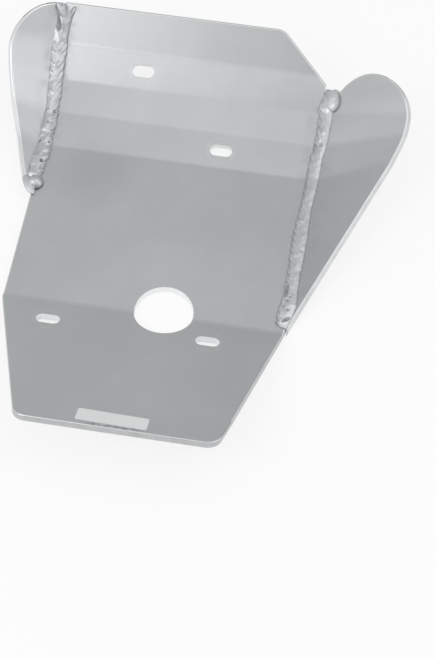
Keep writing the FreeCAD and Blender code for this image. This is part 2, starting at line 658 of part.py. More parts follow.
def bead(label, side):
    """A weld bead in the corner between plate and wing, with round ends."""
    body = new_body(label)
    path = bend_path(body)
    section = section_sketch(body, "BeadSection")
    g, r = size("sheet_thickness"), math.radians(size("wing_rise"))
    w, lp, lw, rc = size("plate_width") / 2, size("weld_on_plate"), size("weld_on_wing"), size("weld_crown")
    toe, heel = (side * (w - lp), g), (side * w, g)
    high = (side * (w + lw * math.cos(r)), g + lw * math.sin(r))
    chord = math.dist(toe, high)
    mid = ((toe[0] + high[0]) / 2, (toe[1] + high[1]) / 2)
    sag = math.sqrt(rc ** 2 - chord ** 2 / 4)
    down = ((high[1] - toe[1]) / chord * side, -abs(high[0] - toe[0]) / chord)
    c = (mid[0] + down[0] * sag, mid[1] + down[1] * sag)
    right, left = (high, toe) if side > 0 else (toe, high)
    a0 = math.atan2(right[1] - c[1], right[0] - c[0])
    a1 = math.atan2(left[1] - c[1], left[0] - c[0])
    ids = [line(section, toe, heel), line(section, heel, high), arc(section, c, rc, a0, a1)]
    meet(section, ids[0], 2, ids[1], 1)
    meet(section, ids[1], 2, ids[2], 1 if side > 0 else 2)
    meet(section, ids[2], 2 if side > 0 else 1, ids[0], 1)
    section.addConstraint(Sketcher.Constraint("Horizontal", ids[0]))
    s = "-" if side < 0 else ""
    tie(section, Sketcher.Constraint("DistanceX", -1, 1, ids[0], 2, heel[0]), "heel_x",
        s + "plate_width / 2")
    tie(section, Sketcher.Constraint("DistanceY", -1, 1, ids[0], 2, g), "heel_z", "sheet_thickness")
    tie(section, Sketcher.Constraint("Distance", ids[0], lp), "plate_leg", "weld_on_plate")
    tie(section, Sketcher.Constraint("DistanceX", -1, 1, ids[1], 2, high[0]), "high_x",
        s + "(plate_width / 2 + weld_on_wing * cos(wing_rise))")
    tie(section, Sketcher.Constraint("DistanceY", -1, 1, ids[1], 2, high[1]), "high_z",
        "sheet_thickness + weld_on_wing * sin(wing_rise)")
    tie(section, Sketcher.Constraint("Radius", ids[2], rc), "crown", "weld_crown")
    sweep(body, section, path)
    return body


def round_end(body, name, side, place, forward):
    """Trim a bead in plan so that it ends in a half circle at the given Y."""
    sketch = new_sketch(body, name, "XY_Plane")
    r, w = size("weld_end"), size("plate_width") / 2
    doc.recompute()
    mid = "(plate_width / 2 + weld_on_wing * cos(wing_rise) / 2 - weld_on_plate / 2)"
    x = side * (w + size("weld_on_wing") * math.cos(math.radians(size("wing_rise"))) / 2
                - size("weld_on_plate") / 2)
    sketch.setExpression("AttachmentOffset.Base.x", cell(("-" if side < 0 else "") + mid))
    sketch.setExpression("AttachmentOffset.Base.y", cell(place))
    f = 1 if forward else -1
    far = size("plate_width")
    outer = [(-far, -f * r), (-far, f * far), (far, f * far), (far, -f * r)]
    ids = [line(sketch, outer[i], outer[i + 1]) for i in range(3)]
    a = line(sketch, outer[3], (r, -f * r))
    b = line(sketch, (-r, -f * r), outer[0])
    turn = 0 if forward else math.pi
    cap = arc(sketch, (0, -f * r), r, turn, turn + math.pi)
    meet(sketch, ids[0], 2, ids[1], 1)
    meet(sketch, ids[1], 2, ids[2], 1)
    meet(sketch, ids[2], 2, a, 1)
    meet(sketch, a, 2, cap, 1 if forward else 2)
    meet(sketch, cap, 2 if forward else 1, b, 1)
    meet(sketch, b, 2, ids[0], 1)
    for kind, g in (("Vertical", ids[0]), ("Horizontal", ids[1]), ("Vertical", ids[2]), ("Horizontal", a),
                    ("Horizontal", b)):
        sketch.addConstraint(Sketcher.Constraint(kind, g))
    sketch.addConstraint(Sketcher.Constraint("PointOnObject", cap, 3, a))
    sketch.addConstraint(Sketcher.Constraint("PointOnObject", cap, 3, -2))
    sign = "-" if forward else ""
    tie(sketch, Sketcher.Constraint("Radius", cap, r), "end", "weld_end")
    tie(sketch, Sketcher.Constraint("DistanceY", -1, 1, cap, 3, -f * r), "centre", sign + "weld_end")
    tie(sketch, Sketcher.Constraint("DistanceY", -1, 1, ids[1], 1, f * far), "far",
        ("" if forward else "-") + "plate_width")
    tie(sketch, Sketcher.Constraint("DistanceX", ids[1], 1, -1, 1, far), "wide_a", "plate_width")
    tie(sketch, Sketcher.Constraint("DistanceX", -1, 1, ids[1], 2, far), "wide_b", "plate_width")
    pocket(body, sketch, name + "Cut")


left_bead = bead("left_bead_run", -1)
round_end(left_bead, "RearEnd", -1, "left_weld_start - middle_length / 2", False)
right_bead = bead("right_bead_run", 1)
round_end(right_bead, "RearEnd", 1, "right_weld_start - middle_length / 2", False)
# the right bead stops where the cut-off corner leaves the side edge
round_end(right_bead, "FrontEnd", 1, bend(3)[0] + " + (band_four - front_chamfer) * cos(3 * front_angle)"
          " + right_weld_over", True)


def seat(label, body, tools):
    """Cut the rolled bends of its neighbours out of a bead, so that it lies on them."""
    for i, tool in enumerate(tools):
        cut = doc.addObject("Part::Cut", "%s_seat_%d" % (label, i + 1))
        cut.Base, cut.Tool = body, tool
        body = cut
    body.Label = label
    return body


left_seated = seat("left_weld_bead", left_bead, [plate, left_wing])
right_seated = seat("right_weld_bead", right_bead, [plate, right_wing])
doc.recompute()

# Check every object, then write one file for each piece

bodies = [plate, left_wing, right_wing, left_seated, right_seated]
for obj in doc.Objects:
    if "Invalid" in obj.State or "Error" in obj.State:
        raise RuntimeError("%s failed: %s" % (obj.Label, obj.State))
os.makedirs("parts", exist_ok=True)
for body in bodies:
    shape = body.Shape
    if shape.isNull() or not shape.isValid() or len(shape.Solids) != 1:
        raise RuntimeError("%s is not one valid solid" % body.Label)
    shape.exportStep("parts/%s.step" % body.Label)
    print(body.Label, "volume", round(shape.Volume), shape.BoundBox)
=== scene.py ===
# %% [markdown]
# This lesson dresses an engine skid plate for a motorcycle: one bent aluminium sheet with a
# flared wing welded along each side. The frame that it starts from already has every solid
# at its real size, so the work here is the surface: rounded sheared edges, rolled grain,
# weld ripples, a blank foil label, and the soft light that shows them.

# %% Load the frame
import bisect
import json
import math
import random

import bmesh
import bpy
from mathutils import Euler, Matrix, Vector, noise
from mathutils.bvhtree import BVHTree


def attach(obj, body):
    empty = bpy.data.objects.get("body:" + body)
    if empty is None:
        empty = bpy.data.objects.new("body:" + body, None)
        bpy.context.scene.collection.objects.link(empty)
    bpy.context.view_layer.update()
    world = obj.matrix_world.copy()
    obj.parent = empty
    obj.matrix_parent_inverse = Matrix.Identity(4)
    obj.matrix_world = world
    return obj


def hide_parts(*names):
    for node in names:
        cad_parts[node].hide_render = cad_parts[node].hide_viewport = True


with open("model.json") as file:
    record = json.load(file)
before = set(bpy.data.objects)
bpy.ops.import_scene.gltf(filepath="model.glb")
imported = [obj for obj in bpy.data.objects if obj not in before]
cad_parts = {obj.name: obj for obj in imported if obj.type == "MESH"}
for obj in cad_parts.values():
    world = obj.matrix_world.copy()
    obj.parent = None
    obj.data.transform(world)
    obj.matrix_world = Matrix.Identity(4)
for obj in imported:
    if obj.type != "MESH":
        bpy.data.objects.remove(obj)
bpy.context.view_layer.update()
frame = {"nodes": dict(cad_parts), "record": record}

print("nodes:", sorted(frame["nodes"]))

# %% [markdown]
# The welds and the label lie on a sheet that bends four times in front and twice behind. It
# helps to measure along the sheet, from the rear bend, as a fabricator does with a tape. This
# helper turns such a distance into a place and a direction on the inner face.

# %% Measure along the bent sheet
MM = 0.001
HALF_MIDDLE, SHEET = 52.4, 4.0
HALF_WIDTH = 79.0
REAR_PANEL, REAR_TURN, LIP_TURN = 75.0, math.radians(18.9), math.radians(22.9)
FRONT_TURN = math.radians(10.9)
BANDS = [22.3, 19.8, 21.7, 23.3]
WING_RISE = math.radians(35)


def along_sheet(distance):
    """Y, Z and the turn of the inner face, this many millimetres in front of the rear bend."""
    y, z = -HALF_MIDDLE, SHEET
    if distance < 0:
        back = min(-distance, REAR_PANEL)
        y, z, turn = y - back * math.cos(REAR_TURN), z + back * math.sin(REAR_TURN), -REAR_TURN
        if -distance > REAR_PANEL:
            rest = -distance - REAR_PANEL
            y, z, turn = y - rest * math.cos(LIP_TURN), z + rest * math.sin(LIP_TURN), -LIP_TURN
        return y, z, turn
    run, turn = min(distance, 2 * HALF_MIDDLE), 0.0
    y += run
    left = distance - run
    for k, band in enumerate(BANDS):
        if left <= 0:
            break
        turn = (k + 1) * FRONT_TURN
        run = left if k == 3 else min(left, band)
        y, z, left = y + run * math.cos(turn), z + run * math.sin(turn), left - run
    return y, z, turn


def on_sheet(x, distance, up=0.0):
    """A point over the inner face, in metres."""
    y, z, turn = along_sheet(distance)
    return Vector((x, y - up * math.sin(turn), z + up * math.cos(turn))) * MM


print("front edge at", on_sheet(0, 191.9), "rear edge at", on_sheet(0, -94.6))

# %% [markdown]
# A material in Blender is a graph of nodes. Long graphs are easier to read as sums, so a small
# class wraps a socket: adding or multiplying two wrapped sockets adds the Math node for it. The
# reflected forms let a plain number stand first, as in 1 - mask.


# %% A socket that does sums
class Value:
    def __init__(self, graph, socket):
        self.graph, self.socket = graph, socket

    def _math(self, operation, *others):
        return self.graph.node("ShaderNodeMath", {"operation": operation},
                               {i: v for i, v in enumerate((self,) + others)})

    def __add__(self, other):
        return self._math("ADD", other)

    def __sub__(self, other):
        return self._math("SUBTRACT", other)

    def __mul__(self, other):
        return self._math("MULTIPLY", other)

    def __rsub__(self, other):
        return self.graph.node("ShaderNodeMath", {"operation": "SUBTRACT"}, {0: other, 1: self})

    __radd__, __rmul__ = __add__, __mul__

    def size(self):
        return self._math("ABSOLUTE")

    def least(self, other):
        return self._math("MINIMUM", other)

    def most(self, other):
        return self._math("MAXIMUM", other)


print("besides sums, a socket has:", [name for name in vars(Value) if not name.startswith("_")])

# %% [markdown]
# Every other node comes from one method, which takes the node's type, its settings and what goes
# into its sockets. On top of it stand the few helpers that the finishes below share: soft steps,
# thin lines, noises that are stretched along one axis, and a curve of levels. All finishes here
# are greys of bare aluminium, a touch cooler than neutral: a little less red and more blue.

# %% One method for every node
LESS_RED, MORE_BLUE = 0.028, 0.016


class Graph:
    """One material's nodes. node() makes any node: its settings first, then its sockets."""

    def __init__(self, tree):
        self.tree = tree
        tree.nodes.clear()

    def node(self, kind, settings=None, inputs=None, output=0):
        made = self.tree.nodes.new(kind)
        for name, value in (settings or {}).items():
            if name == "stops":
                while len(made.color_ramp.elements) < len(value):
                    made.color_ramp.elements.new(0.5)
                for element, (place, colour) in zip(made.color_ramp.elements, value):
                    element.position, element.color = place, colour
            else:
                setattr(made, name, value)
        for name, value in (inputs or {}).items():
            if isinstance(value, Value):
                self.tree.links.new(value.socket, made.inputs[name])
            else:
                made.inputs[name].default_value = value
        return Value(self, made.outputs[output]) if len(made.outputs) else made

    def soft_step(self, value, low, high):
        """0 below low, 1 above high, smooth between."""
        return self.node("ShaderNodeMapRange", {"interpolation_type": "SMOOTHSTEP"},
                         {"Value": value, "From Min": low, "From Max": high})

    def thin_line(self, offset, half):
        """1 on the line where offset is 0, fading to 0 at half its width."""
        return 1 - self.soft_step(offset.size(), half * 0.35, half)

    def parts(self, vector):
        """The x, y and z of a vector."""
        split = self.node("ShaderNodeSeparateXYZ", {}, {0: vector}).socket.node
        return [Value(self, split.outputs[i]) for i in range(3)]

    def distance(self, place, point):
        return self.node("ShaderNodeVectorMath", {"operation": "DISTANCE"}, {0: place, 1: point},
                         output=1)

    def noise(self, place, scale, detail=2.0, rough=0.5):
        return self.node("ShaderNodeTexNoise", {}, {"Vector": place, "Scale": scale,
                                                    "Detail": detail, "Roughness": rough})

    def stretch(self, place, scale):
        """Different scales along x, y and z, which turn a noise into streaks."""
        return self.node("ShaderNodeMapping", {}, {"Vector": place, "Scale": scale})

    def curve(self, value, low, high, levels):
        """Follow these levels, evenly spaced, as value goes from low to high."""
        part = self.node("ShaderNodeMapRange", {},
                         {"Value": value, "From Min": low, "From Max": high})
        stops = [(i / (len(levels) - 1), (v, v, v, 1.0)) for i, v in enumerate(levels)]
        return self.node("ShaderNodeValToRGB", {"stops": stops}, {"Fac": part})

    def tint(self, level):
        """The colour of aluminium at this level: a touch cooler than neutral."""
        return self.node("ShaderNodeCombineColor", {},
                         {0: level * (1 - LESS_RED), 1: level, 2: level * (1 + MORE_BLUE)})

    def mix(self, factor, a, b):
        return self.node("ShaderNodeMix", {"data_type": "RGBA"}, {0: factor, 6: a, 7: b}, output=2)


print("helpers for graphs:", [name for name in vars(Graph) if not name.startswith("_")])

# %% [markdown]
# Two short functions open and close a material, so that each finish below is only its own
# recipe. A third gives a plain grey as a colour.


# %% Open and close a material
def new_material(name):
    material = bpy.data.materials.new(name)
    material.use_nodes = True
    return material, Graph(material.node_tree)


def finish_material(graph, sockets):
    shader = graph.node("ShaderNodeBsdfPrincipled", {}, sockets)
    graph.node("ShaderNodeOutputMaterial", {}, {"Surface": shader})


def grey(level, cool=1.0):
    """A plain metal grey. cool 0 is neutral, 1 is the full tint."""
    return (level * (1 - LESS_RED * cool), level, level * (1 + MORE_BLUE * cool), 1.0)


print("the plate's grey:", grey(0.58))

# %% [markdown]
# The work left marks on the sheets. A weld breathes soot over the few millimetres beside it.
# Mounting the plate scuffed two faint rings round each slot. Such marks are placed by distance:
# from a line for the welds and from a point for the slots. Also from a point, a painted shadow
# lies round each knob that ends a bead, as a dark crescent at its foot. In these tables the left
# side is -1 and the right side is 1.

# %% Marks left by the work
slots = {m["name"]: m["pos_m"] for m in frame["record"]["mounts"] if m["kind"] == "other"}
WELD_REAR, WELD_FRONT = {-1: 0.0175, 1: -0.0505}, {-1: 0.130, 1: 0.1045}
OUTER_RING, INNER_RING = 0.0081, 0.0074
print("slots:", sorted(slots))


def weld_soot(g, place, side, line):
    """Soot in patches beside a bead. line is the distance of its toe from the plate's middle."""
    x, y, z = g.parts(place)
    along = g.soft_step(y, WELD_REAR[side] - 0.002, WELD_REAR[side] + 0.001)
    along = along - g.soft_step(y, WELD_FRONT[side], WELD_FRONT[side] + 0.002) * along
    patchy = g.soft_step(g.noise(place, 130.0, 3.0, 0.6), 0.42, 0.72)
    return (1 - g.soft_step((x * side - line).size(), 0.0006, 0.0065)) * along * patchy


def knob_shadow(g, place, centre, radius):
    """A painted shadow: a dark crescent at the foot of the round knob that ends a bead."""
    return g.thin_line(g.distance(place, centre) - radius, 0.0011) * 0.55


def slot_rings(g, place):
    """Faint round scuffs that mounting the plate left round each slot."""
    broken = g.soft_step(g.noise(place, 330.0, 3.0, 0.6), 0.45, 0.62)
    rings = None
    for point in slots.values():
        away = g.distance(place, point)
        ring = (g.thin_line(away - OUTER_RING, 0.0005)
                + g.thin_line(away - INNER_RING, 0.0004) * 0.5)
        rings = ring if rings is None else rings + ring
    return rings * broken


# %% [markdown]
# No sheet is one even grey. Each gets a gentle curve of levels along its length or across it,
# which is painted light and shade: the brighter and darker places that the lamps and the bends
# give each sheet. The plate has three marks more: a patch of painted shade behind the front
# bends, a painted highlight on the third band that brightens towards the last bend, and a real
# scraped spot on the lip.


# %% Painted light and shade on each sheet, and a scrape
def plate_shade_and_wear(g, place):
    x, y, z = g.parts(place)
    # Painted light: brighter on the plate's left, darker towards its right.
    across = g.curve(x, -0.02, 0.08, [1.0, 0.985, 0.95, 0.92])
    # A painted highlight on the third band, brightening towards the last bend.
    third_band_highlight = g.curve(y, 0.0915, 0.112, [0.91, 0.93, 0.95, 0.965, 0.98, 0.99, 1.0, 0.9]) * 1.099
    # A patch of painted shade behind the front bends.
    patch = 1 - g.soft_step(g.distance(place, on_sheet(-48, 88)), 0.004, 0.034)
    # The scraped spot on the lip is a real scrape.
    at_lip = 1 - g.soft_step(y, -0.1402, -0.1382)
    scraped = (1 - g.soft_step((x - 0.002).size(), 0.010, 0.018)) * at_lip
    scraped = scraped * g.soft_step(g.noise(place, 420.0, 3.0, 0.6), 0.44, 0.56)
    return across * third_band_highlight * (1 - patch * 0.11) * (1 - scraped * 0.35)


def left_painted_shade(g, place):
    """Painted shade: darker from its rear point to its round top."""
    return g.curve(g.parts(place)[1], 0.02, 0.13, [1.0, 1.0, 0.94, 0.88, 0.86, 0.82]) * 1.13


def right_painted_shade(g, place):
    """Painted light and shade: brightest along its middle, darker at its round top."""
    return g.curve(g.parts(place)[1], 0.03, 0.11, [0.93, 0.95, 1.0, 0.99, 0.87, 0.86]) * 1.045


print("dull patch round", on_sheet(-48, 88))

# %% [markdown]
# Mill-finish aluminium leaves the rolls with a fine grain along the sheet. It isn't polished:
# the grain blurs reflections into a satin sheen, and handling leaves cloudy patches that shine
# a little more or less. Noises do it: some stretched into hair-fine streaks, one of broad
# clouds, and a fine mottle. They feed roughness and bump more than colour, which is how metal
# shows dirt. A seed shifts the noises, so that no two sheets share their clouds.


# %% Rolled aluminium sheet
def rolled_sheet(name, seed, welds, shade_and_wear, has_slots=False, knobs=()):
    """welds are (side, line) of each bead beside the sheet, knobs are (centre, radius) of the painted
    shadow round each knob.
    """
    material, g = new_material(name)
    place = g.node("ShaderNodeTexCoord", output=3)
    moved = g.node("ShaderNodeMapping", {}, {"Vector": place, "Location": (seed, seed * 0.7, 0.0)})
    streaks = g.noise(g.stretch(moved, (2600.0, 24.0, 24.0)), 1.0, 3.0, 0.6)
    hairs = g.noise(g.stretch(moved, (7000.0, 60.0, 60.0)), 1.0, 1.0)
    clouds = g.noise(moved, 16.0, 4.0, 0.6)
    mottle = g.noise(moved, 260.0, 3.0, 0.6)
    speck = g.noise(moved, 1500.0, 2.0)
    scratches = g.noise(g.stretch(moved, (90.0, 900.0, 900.0)), 1.0, 3.0, 0.65)
    scuffs = g.soft_step(scratches, 0.66, 0.74) * 0.5
    height = streaks * 0.35 + hairs * 0.25 + mottle * 0.5 + speck * 0.12
    if has_slots:
        rings = slot_rings(g, place)
        scuffs, height = rings + scuffs, height - rings * 0.8
    soot = weld_soot(g, place, *welds[0])
    for weld in welds[1:]:
        soot = soot.most(weld_soot(g, place, *weld))
    # dark is the weld soot together with the painted shadow round each knob that ends a bead.
    dark = soot * 0.1
    for knob in knobs:
        dark = dark.most(knob_shadow(g, place, *knob))
    tone = g.soft_step(clouds * 0.8 + streaks * 0.14 + mottle * 0.12, 0.38, 0.70)
    # The colour's level follows each sheet's painted light and shade, and on the plate a real scrape.
    colour = g.tint((tone * 0.035 + 0.565) * shade_and_wear(g, place))
    colour = g.mix(scuffs * 0.35, colour, grey(0.74, 0.6))
    # The colour darkens by the weld soot and by the painted knob shadows.
    colour = g.mix(dark, colour, grey(0.12, 0.2))
    roughness = 0.34 + clouds * 0.12 + (streaks - 0.5) * 0.10 + (mottle - 0.5) * 0.06 + soot * 0.15
    bump = g.node("ShaderNodeBump", {}, {"Strength": 0.35, "Distance": 0.00004, "Height": height})
    finish_material(g, {"Base Color": colour, "Metallic": 1.0, "Roughness": roughness,
                        "Normal": bump})
    print(name, len(g.tree.nodes), "nodes")
    return material


# Each knob entry places a painted shadow round the knob at a bead's end.
plate_metal = rolled_sheet("rolled_aluminium_plate", 0.0, [(-1, 0.0745), (1, 0.0750)], plate_shade_and_wear,
                           True, [(on_sheet(-78.4, 76.5), 0.0048)])
left_metal = rolled_sheet("rolled_aluminium_left", 3.1, [(-1, 0.0834)], left_painted_shade)
right_metal = rolled_sheet("rolled_aluminium_right", 7.7, [(1, 0.0840)], right_painted_shade,
                           False, [(on_sheet(84.5, 153.8, 2.5), 0.0062)])

# %% [markdown]
# A sheared and filed edge is rougher than the rolled face, with patches of two greys and short
# scratches across its thickness. Each sheet's edge gets its own level of grey, and that level is
# painted light: how much light the edge catches. The rims between face and edge are too narrow
# for scratches. Most rims get a painted highlight, the front rims a dark painted reflection, and
# the punched holes are painted near white inside, as painted light, so each of those is a plain
# metal at its own level.


# %% Cut edges and filed rims
def sheared_edge(name, light, dark):
    material, g = new_material(name)
    place = g.node("ShaderNodeTexCoord", output=3)
    lines = g.noise(g.stretch(place, (1400.0, 1400.0, 160.0)), 1.0, 2.0, 0.6)
    patches = g.noise(place, 120.0, 3.0, 0.6)
    colour = g.mix(g.soft_step(patches, 0.35, 0.75), grey(light, 0.6), grey(dark, 0.8))
    bump = g.node("ShaderNodeBump", {}, {"Strength": 0.5, "Distance": 0.00008, "Height": lines})
    finish_material(g, {"Base Color": colour, "Metallic": 1.0, "Roughness": 0.42 + lines * 0.15,
                        "Normal": bump})
    return material


def plain_metal(name, level, metallic, roughness):
    material, g = new_material(name)
    finish_material(g, {"Base Color": grey(level, 0.5), "Metallic": metallic, "Roughness": roughness})
    return material


# The three edges are one metal at three levels: painted light, for how brightly each edge catches the
# light.
plate_edge = sheared_edge("sheared_plate_edge", 0.61, 0.53)
left_edge = sheared_edge("sheared_left_edge", 0.84, 0.74)
right_edge = sheared_edge("sheared_right_edge", 0.75, 0.66)
# Hole walls painted near white as painted light; dark and grey front rims are painted reflections;
# the filed rim is a painted highlight.
hole_edge = plain_metal("punched_hole_edge_painted_light", 0.95, 0.2, 0.45)
dark_rim = plain_metal("front_rim_dark_painted_reflection", 0.13, 1.0, 0.5)
grey_rim = plain_metal("front_rim_grey_painted_reflection", 0.27, 1.0, 0.5)
bright_rim = plain_metal("filed_rim_painted_highlight", 0.74, 1.0, 0.4)
print("edge finishes:", plate_edge.name, left_edge.name, right_edge.name, hole_edge.name)

# %% [markdown]
# The solids come as loose triangles with nothing to say which of them are rolled faces and
# which are walls of the cut. A ray sent inwards from each face tells: a rolled face has the
# other side of the sheet close behind it, and a wall doesn't.

# %% Tell walls from rolled faces
FACE, WALL, HOLE_WALL, DARK_RIM, BRIGHT_RIM, GREY_RIM = range(6)


def mark_walls(bm):
    """Give the cut walls of a sheet the second material."""
    tree = BVHTree.FromBMesh(bm)
    walls = 0
    for face in bm.faces:
        inwards = -face.normal
        hit = tree.ray_cast(face.calc_center_median() + inwards * 1e-6, inwards)
        near = hit[0] is not None and hit[3] < 1.06 * SHEET * MM
        face.material_index = FACE if near else WALL
        walls += not near
    return walls


print("kinds of face on a sheet:", GREY_RIM + 1)

# %% [markdown]
# The rims of the slots and of the drain hole are finer than the outline's, so they have to be
# told apart by their place. A bevel of three segments gives each rim three strips. The strip by
# the rolled face gets a painted highlight, and in front the others get a dark painted reflection,
# or a grey one where they turn upwards more than forwards.

# %% Holes and rims
DRAIN = Vector((10.9, -49.9, 2.0)) * MM
HOLES = [(Vector(place), 9 * MM) for place in slots.values()] + [(DRAIN, 18 * MM)]
print("holes:", len(HOLES))


def by_a_hole(point):
    return any((point - centre).length < reach for centre, reach in HOLES)


def paint_rim(rim, front_line):
    """Give a rim's three strips their painted highlight or painted reflection. front_line keeps the
    inner one bright in front.
    """
    kinds = {}
    for face in rim:
        beside = {f.material_index for e in face.edges for f in e.link_faces if f not in rim}
        kinds[face] = "inner" if FACE in beside else "outer" if beside else "middle"
    for face, kind in kinds.items():
        in_front = face.normal.y > 0.12 and face.normal.z > 0
        # Front strips get a dark or grey painted reflection, the others a painted highlight.
        shade = DARK_RIM if face.normal.y > 0.4 else GREY_RIM
        if kind == "inner":
            face.material_index = BRIGHT_RIM if front_line or not in_front else FACE
        else:
            face.material_index = shade if in_front else BRIGHT_RIM if kind == "middle" else WALL


# %% [markdown]
# The solids have knife-sharp edges, which no sheared sheet has. Each sheet is copied, its loose
# triangles are merged, and flat areas are dissolved back into whole panels. The shortest edges
# go too, because they would hold a bevel back. Every sharp edge then gets a small bevel. On the
# wings only the outer edges are rounded, from a line beside the weld, and there the bevel's
# clamp is off, because one short edge would narrow the whole rim. Normals weighted by face area
# let each bend roll smoothly from one panel to the next.

# %% Copy a sheet and round its edges
HOLE_RIM, SHORTEST, BESIDE_WELD = 0.3 * MM, 0.3 * MM, 80.5 * MM
SHARP, CREASE = math.radians(40), math.radians(0.6)


def sharp_edges(bm, at_hole, from_side):
    """The sharp edges at the holes or of the outline, further out than from_side."""
    return [e for e in bm.edges if len(e.link_faces) == 2 and e.calc_face_angle() > SHARP
            and by_a_hole((e.verts[0].co + e.verts[1].co) / 2) == at_hole
            and max(abs(v.co.x) for v in e.verts) > from_side]


def rounded_sheet(node, name, finishes, rim, front_line, from_side=0.0):
    bm = bmesh.new()
    bm.from_mesh(frame["nodes"][node].data)
    bmesh.ops.remove_doubles(bm, verts=bm.verts, dist=1e-6)
    walls = mark_walls(bm)
    bmesh.ops.dissolve_limit(bm, angle_limit=CREASE, verts=bm.verts, edges=bm.edges,
                             delimit={"MATERIAL"})
    bmesh.ops.remove_doubles(bm, verts=bm.verts, dist=SHORTEST)
    for face in bm.faces:
        if face.material_index == WALL and by_a_hole(face.calc_center_median()):
            face.material_index = HOLE_WALL
    for width, at_hole in ((HOLE_RIM, True), (rim, False)):
        sharp = sharp_edges(bm, at_hole, from_side)
        if not sharp:
            continue
        made = bmesh.ops.bevel(bm, geom=sharp, offset=width, offset_type="OFFSET", segments=3,
                               profile=0.5, affect="EDGES", clamp_overlap=not from_side,
                               material=-1)
        bm.normal_update()
        if not at_hole:
            paint_rim(set(made["faces"]), front_line)
        print(name, "rim of", width / MM, "on", len(sharp), "edges")
    for face in bm.faces:
        face.smooth = True
    for edge in bm.edges:
        edge.smooth = edge.calc_face_angle(0.0) < SHARP
    mesh = bpy.data.meshes.new(name)
    bm.to_mesh(mesh)
    bm.free()
    piece = bpy.data.objects.new(name, mesh)
    bpy.context.scene.collection.objects.link(piece)
    for material in finishes + [hole_edge, dark_rim, bright_rim, grey_rim]:
        mesh.materials.append(material)
    normals = piece.modifiers.new("even_normals", "WEIGHTED_NORMAL")
    normals.keep_sharp = True
    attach(piece, "root")
    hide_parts(node)
    print(name, len(mesh.polygons), "faces,", walls, "of the loose triangles are cut walls")


rounded_sheet("main_plate", "bent_plate", [plate_metal, plate_edge], 0.8 * MM, False)
rounded_sheet("left_wing", "left_flared_wing", [left_metal, left_edge], 1.6 * MM, True,
              BESIDE_WELD)
rounded_sheet("right_wing", "right_flared_wing", [right_metal, right_edge], 0.8 * MM, False,
              BESIDE_WELD)

# %% [markdown]
# A weld bead fills the corner between plate and wing. So it is modelled in the corner's own
# directions: along it, across it and out of it.

# %% The corner that a bead fills
HALF_FLARE = WING_RISE / 2


def corner_frame(side, distance):
    """The corner of plate and wing: its place, the ways along it, across it and out of it."""
    y, z, turn = along_sheet(distance)
    forward = Vector((0, math.cos(turn), math.sin(turn)))
    normal = Vector((0, -math.sin(turn), math.cos(turn)))
    up_wing = Vector((side * math.cos(WING_RISE), 0, 0)) + normal * math.sin(WING_RISE)
    across = (up_wing + Vector((side, 0, 0))).normalized()
    out = (up_wing - Vector((side, 0, 0))).normalized()
    return Vector((side * HALF_WIDTH, y, z)), forward, across, out


print("corner at the left rear end:", corner_frame(-1, 72)[0])

# %% [markdown]
# A bead laid by hand is uneven. A table holds its widths: a place along the sheet, the reach on
# the plate there and the reach on the wing, in millimetres. Between two rows both change evenly.

# %% How wide each bead is
LEFT_REACH = [(76, 3.5, 5.0), (85, 3.8, 5.6), (93, 4.2, 5.8), (100, 5.3, 4.4), (109, 4.3, 4.2),
              (116, 4.2, 4.6), (123, 4.4, 4.2), (133, 3.6, 3.9), (137, 4.0, 4.5), (145, 3.5, 5.1),
              (151, 3.2, 5.4), (157, 3.1, 5.5), (163, 3.4, 6.0), (171, 3.4, 5.8), (177, 3.8, 5.4),
              (184, 5.0, 5.0), (191, 6.6, 5.6)]
RIGHT_REACH = [(2, 4.8, 0.2), (5, 5.5, 0.8), (10, 6.6, 2.8), (17, 6.0, 4.6), (25, 4.8, 3.8),
               (38, 4.4, 3.4), (50, 4.9, 4.0), (63, 5.1, 4.3), (74, 4.6, 3.8), (85, 3.6, 3.7),
               (101, 3.1, 5.2), (107, 3.4, 5.4), (118, 2.8, 5.7), (124, 1.8, 7.0), (130, 1.4, 7.6),
               (137, 1.1, 8.2), (146, 1.3, 8.4), (149, 2.9, 8.8), (154, 1.4, 9.4), (161, -1.0, 9.0)]


def reach_at(table, distance):
    """The reach on the plate and on the wing here, between the rows of the table."""
    for (t0, a0, b0), (t1, a1, b1) in zip(table, table[1:]):
        if distance <= t1:
            part = max(0.0, (distance - t0) / (t1 - t0))
            return a0 + (a1 - a0) * part, b0 + (b1 - b0) * part
    return table[-1][1:]


print("left bead at 120 mm:", reach_at(LEFT_REACH, 120), "right:", reach_at(RIGHT_REACH, 120))

# %% [markdown]
# Where the torch paused, the metal ran together in round lobes. Each is a ball stretched to an
# oval in the corner's directions and merged into the bead's mesh before the bead is fused.


# %% A lobe of metal
def unit_ball():
    bm = bmesh.new()
    bmesh.ops.create_uvsphere(bm, u_segments=24, v_segments=14, radius=1.0)
    mesh = bpy.data.meshes.new("unit_ball")
    bm.to_mesh(mesh)
    bm.free()
    return mesh


BALL = unit_ball()
print("ball of", len(BALL.polygons), "faces")


def lobe(bm, side, distance, swing, half, lean, yaw=0.0, lift=0.9):
    """One lobe of a puddle: half is its half length, width and height in millimetres."""
    place, forward, across, out = corner_frame(side, distance)
    turned = Matrix((forward, across, out)).transposed().to_4x4()
    shape = (Matrix.Translation((place + across * swing + out * lift) * MM) @ turned
             @ Matrix.Rotation(yaw, 4, "Z") @ Matrix.Rotation(lean, 4, "Y")
             @ Matrix.Diagonal((half[0] * MM, half[1] * MM, half[2] * MM, 1)))
    ball = BALL.copy()
    ball.transform(shape)
    bm.from_mesh(ball)
    bpy.data.meshes.remove(ball)


# %% [markdown]
# A weld is a row of puddles, and each one froze before the next was laid on its edge, like a
# row of fallen coins. The rear rim of each puddle is a small step, and between two rims the
# metal falls away slowly. That saw-tooth is the ripple. The torch moved to and fro, so a rim
# isn't straight: it bends forward toward both toes, in a chevron.

